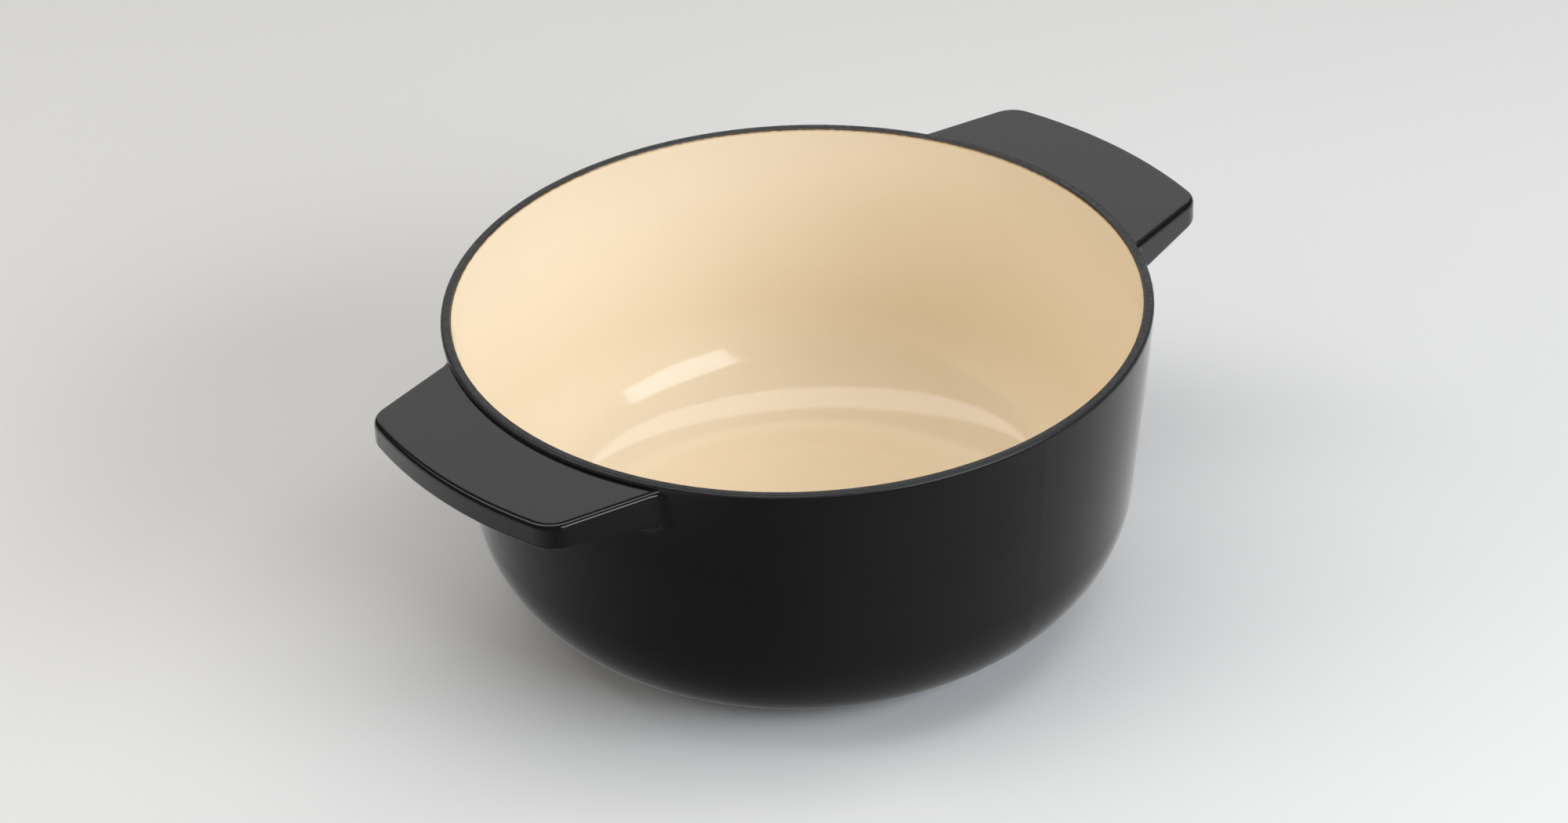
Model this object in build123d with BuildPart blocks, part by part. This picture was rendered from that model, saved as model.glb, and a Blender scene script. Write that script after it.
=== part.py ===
from build123d import *
import os
from math import acos, asin, atan2, cos, degrees, radians, sin, sqrt, tan

# Enamelled cast iron dutch oven, 24 cm inside, without a lid. A round pot with a flat base, a wide
# bottom corner and a wall that leans out a little to the rim. Two broad tab handles stand just under
# the rim, at -X (left) and +X (right). Enamel covers the iron: cream inside, glossy black outside, and
# a bare band of matt dark ground coat over the rim and under the base.
# Millimetres. The origin is on the resting plane, under the middle of the base, and +Z is up.

# The finished pot, enamel included
RIM_RADIUS = 124.0  # outside of the rim
RIM_HEIGHT = 113.0
CORNER_RADIUS = 46.0  # bottom corner, outside
INNER_CORNER = 42.0  # bottom corner, inside
LEAN_LOW = 7.0  # degrees that the wall leans out just above the corner
LEAN_TOP = 3.8  # and at the rim
WALL = 3.9
FLOOR = 4.6
RIM_ROUND_OUT = 1.5
RIM_ROUND_IN = 1.0
RIM_TURN = 25.0  # degrees that the matt rim coat goes round each of the rim's edges

# The finished handles, enamel included
HANDLE_REACH = 157.5  # from the pot's axis to the middle of the outer edge
HANDLE_BOW = 173.0  # radius of the outer edge in plan
HANDLE_TIP_HALF = 48.0  # half the width at the outer corners, before rounding
HANDLE_TAPER = 12.0  # degrees that each end leans in towards the tip
HANDLE_START = 100.0  # where the tab starts, well inside the wall
HANDLE_DROP = 1.8  # top face below the rim
HANDLE_LIP = 9.5  # thickness at the outer edge
UNDER_SLOPE = 7.0  # degrees that the underside falls towards the wall
TIP_ROUND = 11.0  # outer corners in plan
TOP_EDGE_ROUND = 2.2
LOW_EDGE_ROUND = 1.8
ROOT_FILLET = 8.0  # ends and underside into the wall

# Where one piece meets the next
COAT = 0.4  # enamel thickness
BOSS = 3.0  # how far the bowl's own iron runs into each handle, from the rim's radius

# Worked out from the driving sizes: the wall is one arc in section, tangent to the corner's arc
low_turn, top_turn = radians(90 - LEAN_LOW), radians(90 - LEAN_TOP)
corner_top = CORNER_RADIUS * (1 - cos(low_turn))
WALL_ARC = (RIM_HEIGHT - corner_top) / (cos(low_turn) - cos(top_turn))
BASE_RADIUS = RIM_RADIUS - CORNER_RADIUS * sin(low_turn) - WALL_ARC * (sin(top_turn) - sin(low_turn))
ARC_X = BASE_RADIUS + (CORNER_RADIUS - WALL_ARC) * sin(low_turn)
ARC_Z = corner_top + WALL_ARC * cos(low_turn)


def bowl_half(inset, floor, corner, top):
    """Half section, from the axis, of a filled bowl whose wall is moved inwards by inset."""
    arc = WALL_ARC - inset
    corner_z = floor + corner
    corner_x = ARC_X + sqrt((arc - corner) ** 2 - (corner_z - ARC_Z) ** 2)
    start = degrees(atan2(corner_z - ARC_Z, corner_x - ARC_X))
    end = degrees(asin((top - ARC_Z) / arc))
    with BuildSketch(Plane.XY) as half:
        with BuildLine():
            Line((0, floor), (corner_x, floor))
            CenterArc((corner_x, corner_z), corner, -90, 90 + start)
            side = CenterArc((ARC_X, ARC_Z), arc, start, end - start)
            Polyline(side @ 1, (0, top), (0, floor))
        make_face()
    return half.sketch_local


def outside_half(coat, top):
    """Half section of all that is inside the bowl's outer surface, under a coat."""
    return bowl_half(coat, coat, CORNER_RADIUS - coat, top)


def middle_half():
    """Half section of all that is inside a surface half way through floor and wall."""
    return bowl_half(WALL / 2, FLOOR / 2, INNER_CORNER + WALL / 2, RIM_HEIGHT)


def wall_half(coat):
    """Half section of floor, wall and rounded rim, under a coat on both sides."""
    with BuildSketch(Plane.XY) as half:
        add(outside_half(coat, RIM_HEIGHT - coat))
        add(bowl_half(WALL - coat, FLOOR - coat, INNER_CORNER + coat, RIM_HEIGHT), mode=Mode.SUBTRACT)
        fillet(half.vertices().group_by(Axis.Y)[-1].sort_by(Axis.X)[0], RIM_ROUND_IN - coat)
        fillet(half.vertices().group_by(Axis.Y)[-1].sort_by(Axis.X)[-1], RIM_ROUND_OUT - coat)
    return half.sketch_local


def rim_half():
    """Half section of the space over the rim, between lines part of the way round its two edges."""
    lean = tan(radians(RIM_TURN))
    inner_x = RIM_RADIUS - WALL / cos(radians(LEAN_TOP)) + RIM_ROUND_IN
    outer_x = RIM_RADIUS - RIM_ROUND_OUT
    inner_z, outer_z = RIM_HEIGHT - RIM_ROUND_IN, RIM_HEIGHT - RIM_ROUND_OUT
    with BuildSketch(Plane.XY) as half:
        with BuildLine():
            Polyline(
                (inner_x, inner_z),
                (inner_x - WALL * lean, inner_z + WALL),
                (outer_x + WALL * lean, outer_z + WALL),
                (outer_x, outer_z),
                close=True,
            )
        make_face()
    return half.sketch_local


def handle_plan(coat):
    """Plan of the right handle: two ends that lean in, and a bowed outer edge with round corners."""
    reach, bow = HANDLE_REACH - coat, HANDLE_BOW - coat
    bow_x = reach - bow
    taper = radians(HANDLE_TAPER)
    corner_x = bow_x + sqrt(HANDLE_BOW**2 - HANDLE_TIP_HALF**2)
    # The end's line is this far from the pot's axis, and it meets the bowed edge at this turn
    end_line = corner_x * sin(taper) + HANDLE_TIP_HALF * cos(taper) - coat
    turn = radians(90) - taper - acos((end_line - bow_x * sin(taper)) / bow)
    x, y = bow_x + bow * cos(turn), bow * sin(turn)
    start_y = (end_line - HANDLE_START * sin(taper)) / cos(taper)
    with BuildSketch(Plane.XY) as plan:
        with BuildLine():
            Polyline((x, -y), (HANDLE_START, -start_y), (HANDLE_START, start_y), (x, y))
            ThreePointArc((x, y), (reach, 0), (x, -y))
        make_face()
        fillet(plan.vertices().group_by(Axis.X)[-1], TIP_ROUND - coat)
    return plan.sketch_local


def half_pot(coat):
    """The +X half of the pot with its handle, all in one, under a coat of that thickness."""
    top = RIM_HEIGHT - HANDLE_DROP - coat
    slope = radians(UNDER_SLOPE)
    inner_z = top - HANDLE_LIP + coat + coat / cos(slope) - (HANDLE_REACH - HANDLE_START) * sin(slope)
    far = HANDLE_REACH + HANDLE_LIP
    far_z = inner_z + (far - HANDLE_START) * sin(slope)

    with BuildPart() as handle:
        with BuildSketch(Plane.XY.offset(top)):
            add(handle_plan(coat))
        extrude(amount=-3 * HANDLE_LIP)
        # The underside slopes down to the wall all round
        with BuildSketch(Plane.YZ):
            with BuildLine():
                Line((0, 0), (0, inner_z))
                Polyline((0, inner_z), (HANDLE_START, inner_z), (far, far_z), (far, 0), (0, 0))
            make_face()
        revolve(axis=Axis.Z, mode=Mode.SUBTRACT)
        under_edges = handle.edges(Select.NEW).filter_by(lambda e: e.center().X > HANDLE_START + 1)
        fillet(under_edges, LOW_EDGE_ROUND - coat)

    with BuildPart() as pot:
        # Handle and filled bowl up to the handle's top face, so that its round edge runs out along the
        # wall. This bowl is a hair smaller than the real one, so that no two faces fall together.
        hair = 0.005
        with BuildSketch(Plane.YZ):
            add(outside_half(coat + hair, top))
        revolve(axis=Axis.Z)
        add(handle.part)
        roots = pot.edges(Select.NEW).filter_by(lambda e: e.center().Z < top - 1)
        fillet(roots, ROOT_FILLET)
        fillet(pot.faces().sort_by(Axis.Z)[-1].edges(), TOP_EDGE_ROUND - coat)
        # Then the hollow bowl itself, up to the rim
        with BuildSketch(Plane.YZ):
            add(middle_half())
        revolve(axis=Axis.Z, mode=Mode.SUBTRACT)
        with BuildSketch(Plane.YZ):
            add(wall_half(coat))
        revolve(axis=Axis.Z)
        split(bisect_by=Plane.YZ)
    return pot.part


finished_half = half_pot(0)
iron_half = half_pot(COAT)

# Iron bowl, with a short boss where each handle starts
with BuildPart() as bowl_casting:
    add(iron_half)
    Cylinder(RIM_RADIUS + BOSS, 2 * RIM_HEIGHT, mode=Mode.INTERSECT)
    mirror(about=Plane.YZ)
bowl_casting.part.label = "bowl_casting"

# Iron of the two handles, beyond the bosses
with BuildPart() as right_handle:
    add(iron_half)
    Cylinder(RIM_RADIUS + BOSS, 2 * RIM_HEIGHT, mode=Mode.SUBTRACT)
right_handle.part.label = "right_handle"

with BuildPart() as left_handle:
    mirror(right_handle.part, about=Plane.YZ)
left_handle.part.label = "left_handle"

# Glossy black enamel over the outer wall and both handles, from the base up into the rim's outer edge
with BuildPart() as outside_enamel:
    add(finished_half)
    add(iron_half, mode=Mode.SUBTRACT)
    with BuildSketch(Plane.YZ):
        with Locations((BASE_RADIUS, 0)):
            Rectangle(HANDLE_REACH, RIM_HEIGHT, align=Align.MIN)
        add(middle_half(), mode=Mode.SUBTRACT)
        add(rim_half(), mode=Mode.SUBTRACT)
    revolve(axis=Axis.Z, mode=Mode.INTERSECT)
    mirror(about=Plane.YZ)
outside_enamel.part.label = "outside_enamel"

# Cream enamel over floor and wall inside, up into the rim's inner edge
with BuildPart() as inside_enamel:
    with BuildSketch(Plane.XZ):
        add(wall_half(0))
        add(wall_half(COAT), mode=Mode.SUBTRACT)
        add(middle_half(), mode=Mode.INTERSECT)
        add(rim_half(), mode=Mode.SUBTRACT)
    revolve(axis=Axis.Z)
inside_enamel.part.label = "inside_enamel"

# Matt ground coat over the rim
with BuildPart() as rim_enamel:
    with BuildSketch(Plane.XZ):
        add(wall_half(0))
        add(wall_half(COAT), mode=Mode.SUBTRACT)
        add(rim_half(), mode=Mode.INTERSECT)
    revolve(axis=Axis.Z)
rim_enamel.part.label = "rim_enamel"

# Matt ground coat under the flat base
with BuildPart() as base_enamel:
    Cylinder(BASE_RADIUS, COAT, align=(Align.CENTER, Align.CENTER, Align.MIN))
base_enamel.part.label = "base_enamel"

os.makedirs("parts", exist_ok=True)
castings = (bowl_casting, left_handle, right_handle)
coats = (outside_enamel, inside_enamel, rim_enamel, base_enamel)
for piece in castings + coats:
    export_step(piece.part, f"parts/{piece.part.label}.step")
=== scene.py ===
import math

import bpy
from mathutils import Matrix, Vector


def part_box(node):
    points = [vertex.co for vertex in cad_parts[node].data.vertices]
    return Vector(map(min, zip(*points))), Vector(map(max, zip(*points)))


# Looks and studio for the enamelled cast iron dutch oven. The CAD nodes keep their own shapes, and each
# gets a procedural material. Texture coordinates are the frame's own metres, so features have real sizes.

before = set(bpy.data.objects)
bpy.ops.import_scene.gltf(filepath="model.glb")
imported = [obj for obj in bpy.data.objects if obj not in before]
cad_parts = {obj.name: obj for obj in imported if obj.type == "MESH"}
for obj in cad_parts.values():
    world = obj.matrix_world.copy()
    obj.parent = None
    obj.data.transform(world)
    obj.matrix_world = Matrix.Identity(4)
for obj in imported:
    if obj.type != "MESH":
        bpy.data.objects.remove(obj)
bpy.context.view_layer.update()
scene = bpy.context.scene

MM = 0.001
RIM_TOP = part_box("rim_enamel")[1].z
MIDDLE = Vector((0, 0, RIM_TOP / 2))

# Where the camera stands, round the middle of the pot: degrees, degrees and metres
AZIMUTH = -40.77
ELEVATION = 33.10
DISTANCE = 1.6547

# How it is aimed, a little off the middle, and its lens in millimetres
SIGHT_LINE = Vector((0.54611, 0.63890, -0.54183))
PICTURE_UP = Vector((0.38269, 0.38510, 0.83979))
SENSOR_WIDTH = 36
FOCAL_LENGTH = 107.4

GLASS_IOR = 1.52
RAGGED = 0.5 * MM  # how far an enamel's edge at the rim wanders up and down


def studio(azimuth, elevation):
    """Unit vector: azimuth in degrees clockwise from straight away from the camera."""
    turn = math.radians(azimuth - AZIMUTH)
    rise = math.radians(elevation)
    return Vector((
        math.sin(turn) * math.cos(rise),
        math.cos(turn) * math.cos(rise),
        math.sin(rise),
    ))


def facing(side, up, back):
    """Rotation of a camera or light that looks away from back."""
    return Matrix((side, up, back)).transposed().to_4x4()


def add_camera():
    camera = bpy.data.objects.new("camera", bpy.data.cameras.new("camera"))
    scene.collection.objects.link(camera)
    camera.data.sensor_width = SENSOR_WIDTH
    camera.data.lens = FOCAL_LENGTH
    forward = SIGHT_LINE.normalized()
    side = forward.cross(PICTURE_UP).normalized()
    place = MIDDLE + DISTANCE * studio(180, ELEVATION)
    camera.matrix_world = Matrix.Translation(place) @ facing(side, side.cross(forward), -forward)
    scene.camera = camera


# ---------------------------------------------------------------- materials


class Look:
    """A material under construction: its nodes, and short ways to add to them."""

    def __init__(self, name):
        self.material = bpy.data.materials.new(name)
        self.material.use_nodes = True
        self.tree = self.material.node_tree
        self.shader = self.tree.nodes["Principled BSDF"]
        self.place = self.tree.nodes.new("ShaderNodeTexCoord").outputs["Object"]

    def join(self, source, target):
        self.tree.links.new(source, target)

    def noise(self, size, detail=2.0):
        """Noise from 0 to 1 whose features are about size metres across."""
        node = self.tree.nodes.new("ShaderNodeTexNoise")
        node.inputs["Scale"].default_value = 1 / size
        node.inputs["Detail"].default_value = detail
        self.join(self.place, node.inputs["Vector"])
        return node.outputs["Fac"]

    def spots(self, spacing, low, high):
        """1 in small round spots about spacing apart, 0 elsewhere."""
        node = self.tree.nodes.new("ShaderNodeTexVoronoi")
        node.inputs["Scale"].default_value = 1 / spacing
        self.join(self.place, node.inputs["Vector"])
        return self.span(node.outputs["Distance"], low, high, 1, 0)

    def calc(self, operation, a, b=0.0):
        node = self.tree.nodes.new("ShaderNodeMath")
        node.operation = operation
        for socket, value in zip(node.inputs, (a, b)):
            if isinstance(value, (int, float)):
                socket.default_value = value
            else:
                self.join(value, socket)
        return node.outputs[0]

    def add(self, a, b):
        return self.calc("ADD", a, b)

    def times(self, a, b):
        return self.calc("MULTIPLY", a, b)

    def length(self, x, y):
        return self.calc("SQRT", self.add(self.times(x, x), self.times(y, y)))

    def span(self, value, low, high, out_low, out_high):
        """value, taken from the span low to high and put in the span out_low to out_high."""
        node = self.tree.nodes.new("ShaderNodeMapRange")
        node.interpolation_type = "SMOOTHSTEP"
        node.inputs["From Min"].default_value = low
        node.inputs["From Max"].default_value = high
        node.inputs["To Min"].default_value = out_low
        node.inputs["To Max"].default_value = out_high
        self.join(value, node.inputs["Value"])
        return node.outputs["Result"]

    def axis(self, name):
        node = self.tree.nodes.new("ShaderNodeSeparateXYZ")
        self.join(self.place, node.inputs[0])
        return node.outputs[name]

    def along(self, way):
        """Distance from the pot's axis towards the level unit vector way."""
        return self.add(self.times(self.axis("X"), way.x), self.times(self.axis("Y"), way.y))

    def radius(self):
        """Distance from the pot's axis."""
        return self.length(self.axis("X"), self.axis("Y"))

    def rim_edge(self, low, high, lift=0.0):
        """0 further below the rim's top than low, and 1 above high, with a ragged line between."""
        height = self.add(self.axis("Z"), self.times(self.noise(2.2 * MM, 3), RAGGED))
        height = self.add(height, lift)
        top = RIM_TOP + RAGGED / 2
        return self.span(height, top - low, top - high, 0, 1)

    def blend(self, factor, a, b):
        """Colour a where factor is 0, and b where it is 1."""
        node = self.tree.nodes.new("ShaderNodeMix")
        node.data_type = "RGBA"
        self.join(factor, node.inputs["Factor"])
        # A mix node has a socket for each data type, and 6 and 7 are its two colours
        for socket, colour in zip(node.inputs[6:8], (a, b)):
            if isinstance(colour, tuple):
                socket.default_value = (*colour, 1)
            else:
                self.join(colour, socket)
        return node.outputs[2]

    def bump(self, *layers):
        """Adds bumps: (height, depth in metres) pairs."""
        normal = None
        for height, depth in layers:
            node = self.tree.nodes.new("ShaderNodeBump")
            node.inputs["Strength"].default_value = 1
            node.inputs["Distance"].default_value = depth
            self.join(height, node.inputs["Height"])
            if normal:
                self.join(normal, node.inputs["Normal"])
            normal = node.outputs["Normal"]
        self.join(normal, self.shader.inputs["Normal"])

    def finish(self, colour, roughness):
        self.join(colour, self.shader.inputs["Base Color"])
        self.join(roughness, self.shader.inputs["Roughness"])
        self.shader.inputs["IOR"].default_value = GLASS_IOR
        return self.material


def black_enamel():
    """Glossy black glass, with soft orange peel and a faint haze. Matt ground coat shows at the rim."""
    look = Look("black_enamel")
    # The ground coat comes further down over the left handle than over the right one
    lift = look.span(look.axis("X"), -112 * MM, -100 * MM, 0.6 * MM, 0)
    drop = look.span(look.axis("X"), 85 * MM, 100 * MM, 0, 0.4 * MM)
    bare = look.rim_edge(0.95 * MM, 0.65 * MM, look.calc("SUBTRACT", lift, drop))
    tone = look.blend(look.noise(30 * MM), (0.0032, 0.0032, 0.0033), (0.0060, 0.0058, 0.0057))
    dusty = look.span(look.noise(12 * MM), 0.5, 0.6, 0, 0.5)
    dust = look.times(look.spots(4 * MM, 0.03, 0.07), dusty)
    tone = look.blend(dust, tone, (0.02, 0.02, 0.02))
    tone = look.blend(bare, tone, (0.013, 0.013, 0.0132))
    haze = look.span(look.noise(14 * MM, 4), 0.35, 0.75, 0.07, 0.13)
    haze = look.add(haze, look.times(bare, 0.26))
    look.bump((look.noise(7 * MM, 1), 0.02 * MM), (look.noise(1.6 * MM, 1), 0.0012 * MM))
    return look.finish(tone, haze)


def cream_enamel():
    """Glossy cream glass, a little warmer in patches, brown and then nearly black along its upper edge."""
    look = Look("cream_enamel")
    tone = look.blend(look.noise(45 * MM, 3), (0.875, 0.73, 0.525), (0.90, 0.765, 0.565))
    speckled = look.span(look.noise(9 * MM), 0.5, 0.62, 0, 0.25)
    specks = look.times(look.spots(5 * MM, 0.02, 0.05), speckled)
    tone = look.blend(specks, tone, (0.42, 0.30, 0.17))
    tone = look.blend(look.rim_edge(1.5 * MM, 0.7 * MM), tone, (0.60, 0.42, 0.24))
    tone = look.blend(look.rim_edge(0.8 * MM, 0.45 * MM), tone, (0.05, 0.038, 0.027))
    gloss = look.span(look.noise(12 * MM, 4), 0.35, 0.75, 0.08, 0.13)
    look.bump((look.noise(9 * MM, 1), 0.03 * MM), (look.noise(1.8 * MM, 1), 0.0015 * MM))
    return look.finish(tone, gloss)


def rim_coat():
    """Matt dark grey ground coat, mottled and with a fine grain."""
    look = Look("rim_ground_coat")
    tone = look.blend(look.noise(2.5 * MM, 4), (0.008, 0.008, 0.0082), (0.020, 0.0195, 0.019))
    grain = look.span(look.noise(1.4 * MM, 3), 0.35, 0.65, 0.28, 0.50)
    look.bump((look.noise(1.1 * MM, 2), 0.03 * MM))
    return look.finish(tone, grain)


def base_coat():
    """Satin black ground coat, rubbed where the pot stands, with three kiln pin marks."""
    look = Look("base_ground_coat")
    tone = look.blend(look.noise(8 * MM, 4), (0.012, 0.012, 0.0125), (0.024, 0.023, 0.022))
    outer = look.span(look.radius(), 55 * MM, 69 * MM, 0, 0.6)
    rubbed = look.times(outer, look.span(look.noise(6 * MM, 5), 0.45, 0.65, 0, 1))
    tone = look.blend(rubbed, tone, (0.06, 0.058, 0.055))
    pin_radius = 50 * MM
    x, y = look.axis("X"), look.axis("Y")
    pins = 0.0
    for degrees in (30, 150, 270):
        turn = math.radians(degrees)
        from_pin_x = look.calc("SUBTRACT", x, pin_radius * math.cos(turn))
        from_pin_y = look.calc("SUBTRACT", y, pin_radius * math.sin(turn))
        pin = look.span(look.length(from_pin_x, from_pin_y), 1.0 * MM, 1.9 * MM, 1, 0)
        pins = look.calc("MAXIMUM", pins, pin)
    tone = look.blend(pins, tone, (0.10, 0.075, 0.06))
    grain = look.span(look.noise(2.5 * MM, 4), 0.3, 0.7, 0.28, 0.45)
    look.bump((pins, -0.25 * MM), (look.noise(3 * MM, 3), 0.03 * MM))
    return look.finish(tone, grain)


def cast_iron():
    """Sand-cast iron, all of it under the enamel."""
    look = Look("cast_iron")
    tone = look.blend(look.noise(2 * MM, 5), (0.035, 0.034, 0.034), (0.08, 0.078, 0.075))
    grain = look.span(look.noise(1 * MM, 4), 0.3, 0.7, 0.5, 0.7)
    look.bump((look.noise(0.8 * MM, 4), 0.06 * MM))
    look.shader.inputs["Metallic"].default_value = 0.7
    return look.finish(tone, grain)


def dress(node, material):
    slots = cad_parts[node].data.materials
    slots.clear()
    slots.append(material)


# ---------------------------------------------------------------- studio


def painted_floor_reflection(look):
    """Painted reflection of the floor: how bright the pot's reflections show it, far side high, near side
    dark, and a little more at the right and left. It glows in place of the lit floor and takes no shadow."""
    radius = look.radius()
    # Nearer the axis the glow evens out, so that it doesn't turn about a point under the pot
    reach = look.calc("MAXIMUM", radius, 120 * MM)

    def towards(azimuth):
        """1 on the floor at that azimuth, -1 on the opposite side."""
        return look.calc("DIVIDE", look.along(studio(azimuth, 0)), reach)

    far_side = look.span(towards(5), -1.15, 1.15, 0.12, 0.80)
    right = look.span(towards(120), 0.2, 1, 0, 0.12)
    left = look.times(look.span(towards(-100), 0.3, 1, 0, 0.35), look.span(radius, 200 * MM, 300 * MM, 0, 1))
    return look.add(far_side, look.add(right, left))


def add_floor():
    """Pale table. In the pot's reflections a painted glow stands in for it, dark on the near side."""
    look = Look("floor_paint_and_painted_reflection")
    nodes = look.tree.nodes
    tone = look.blend(look.noise(400 * MM, 3), (0.785, 0.765, 0.735), (0.81, 0.79, 0.76))
    look.bump((look.noise(1.5 * MM, 2), 0.01 * MM))
    material = look.finish(tone, look.span(look.noise(100 * MM), 0.3, 0.7, 0.55, 0.65))

    # Painted reflection: glossy rays see this glow in place of the lit floor, so the floor shows no shading
    # there
    glow = nodes.new("ShaderNodeEmission")
    look.join(painted_floor_reflection(look), glow.inputs["Strength"])
    reflected = nodes.new("ShaderNodeMixShader")
    look.join(nodes.new("ShaderNodeLightPath").outputs["Is Glossy Ray"], reflected.inputs["Fac"])
    look.join(look.shader.outputs["BSDF"], reflected.inputs[1])
    look.join(glow.outputs["Emission"], reflected.inputs[2])

    # From below the floor is clear, so that the base can be seen
    side = nodes.new("ShaderNodeMixShader")
    look.join(nodes.new("ShaderNodeNewGeometry").outputs["Backfacing"], side.inputs["Fac"])
    look.join(reflected.outputs["Shader"], side.inputs[1])
    look.join(nodes.new("ShaderNodeBsdfTransparent").outputs["BSDF"], side.inputs[2])
    look.join(side.outputs["Shader"], nodes["Material Output"].inputs["Surface"])

    bpy.ops.mesh.primitive_circle_add(vertices=128, radius=8, fill_type="NGON")
    floor = bpy.context.object
    floor.name = "floor"
    floor.data.materials.append(material)


def softbox(name, place, long_way, size, glow, tint=(1, 1, 1), in_gloss=True):
    """Rectangular light at place from the pot's middle, which it faces. Its long side is along long_way,
    and glow is its brightness, where 1 shows as white. Reflections see it if in_gloss."""
    data = bpy.data.lights.new(name, "AREA")
    data.shape = "RECTANGLE"
    data.size, data.size_y = size
    data.energy = glow * size[0] * size[1] * math.pi
    data.color = tint
    lamp = bpy.data.objects.new(name, data)
    scene.collection.objects.link(lamp)
    back = place.normalized()
    up = back.cross(long_way).normalized()
    lamp.matrix_world = Matrix.Translation(MIDDLE + place) @ facing(up.cross(back), up, back)
    lamp.visible_camera = False
    lamp.visible_glossy = in_gloss


def add_strip(height, glow):
    """Overhead strip light, bent like a crescent, that lies level over the pot. Its near edge is half an
    ellipse, less a bit at each end, and its far edge is the same curve moved away by width."""
    half_long, half_deep, width = 1.62, 1.2, 0.62
    shift_right, shift_away = -0.25, 0.75
    share = 0.96  # of the half ellipse that the edge takes up
    steps = 40

    right, away = studio(90, 0), studio(0, 0)
    near_edge = []
    for step in range(steps + 1):
        turn = math.pi * (step / steps - 0.5) * share
        near_edge.append((shift_right + half_long * math.sin(turn), shift_away - half_deep * math.cos(turn)))
    far_edge = [(x, y + width) for x, y in near_edge]
    corners = [x * right + y * away + Vector((0, 0, height)) for x, y in near_edge + far_edge]
    far = len(near_edge)
    faces = [(i, i + 1, far + i + 1, far + i) for i in range(steps)]
    mesh = bpy.data.meshes.new("strip")
    mesh.from_pydata(corners, [], faces)
    strip = bpy.data.objects.new("strip", mesh)
    scene.collection.objects.link(strip)

    material = bpy.data.materials.new("strip_glow")
    material.use_nodes = True
    nodes = material.node_tree.nodes
    emission = nodes.new("ShaderNodeEmission")
    emission.inputs["Strength"].default_value = glow
    material.node_tree.links.new(emission.outputs[0], nodes["Material Output"].inputs["Surface"])
    mesh.materials.append(material)
    strip.visible_camera = False


def add_lights():
    """The strip, key and back show in the pot's gloss. Top, bounce and fill only light it."""
    add_strip(height=1.5, glow=2.4)
    softbox("top", studio(180, 0) * 0.2 + Vector((0, 0, 1.5)), long_way=studio(90, 0),
            size=(2.0, 0.8), glow=1.3, in_gloss=False)
    softbox("key", studio(130, 31) * 1.6, long_way=studio(40, 0),
            size=(1.2, 0.56), glow=4.1, tint=(0.95, 1.0, 1.06))
    softbox("back", studio(0, 30) * 2.6, long_way=studio(90, 0),
            size=(3.4, 1.5), glow=0.79)
    softbox("bounce", studio(122, 22) * 1.6, long_way=studio(32, 0),
            size=(1.4, 0.8), glow=3.9, tint=(0.90, 1.0, 1.14), in_gloss=False)
    softbox("fill", studio(-100, 22) * 1.6, long_way=studio(170, 0),
            size=(1.2, 0.8), glow=2.6, in_gloss=False)


def add_world():
    """Pale where the camera sees it, and dim as a light."""
    world = bpy.data.worlds.new("studio")
    scene.world = world
    world.use_nodes = True
    nodes, links = world.node_tree.nodes, world.node_tree.links
    seen, dim = nodes["Background"], nodes.new("ShaderNodeBackground")
    seen.inputs["Color"].default_value = (0.80, 0.80, 0.79, 1)
    dim.inputs["Color"].default_value = (0.10, 0.10, 0.10, 1)
    mix = nodes.new("ShaderNodeMixShader")
    links.new(nodes.new("ShaderNodeLightPath").outputs["Is Camera Ray"], mix.inputs["Fac"])
    links.new(dim.outputs[0], mix.inputs[1])
    links.new(seen.outputs[0], mix.inputs[2])
    links.new(mix.outputs[0], nodes["World Output"].inputs["Surface"])


scene.view_settings.view_transform = "Standard"
add_camera()
add_floor()
add_world()
add_lights()

dress("outside_enamel", black_enamel())
dress("inside_enamel", cream_enamel())
dress("rim_enamel", rim_coat())
dress("base_enamel", base_coat())
iron = cast_iron()
for node in ("bowl_casting", "left_handle", "right_handle"):
    dress(node, iron)
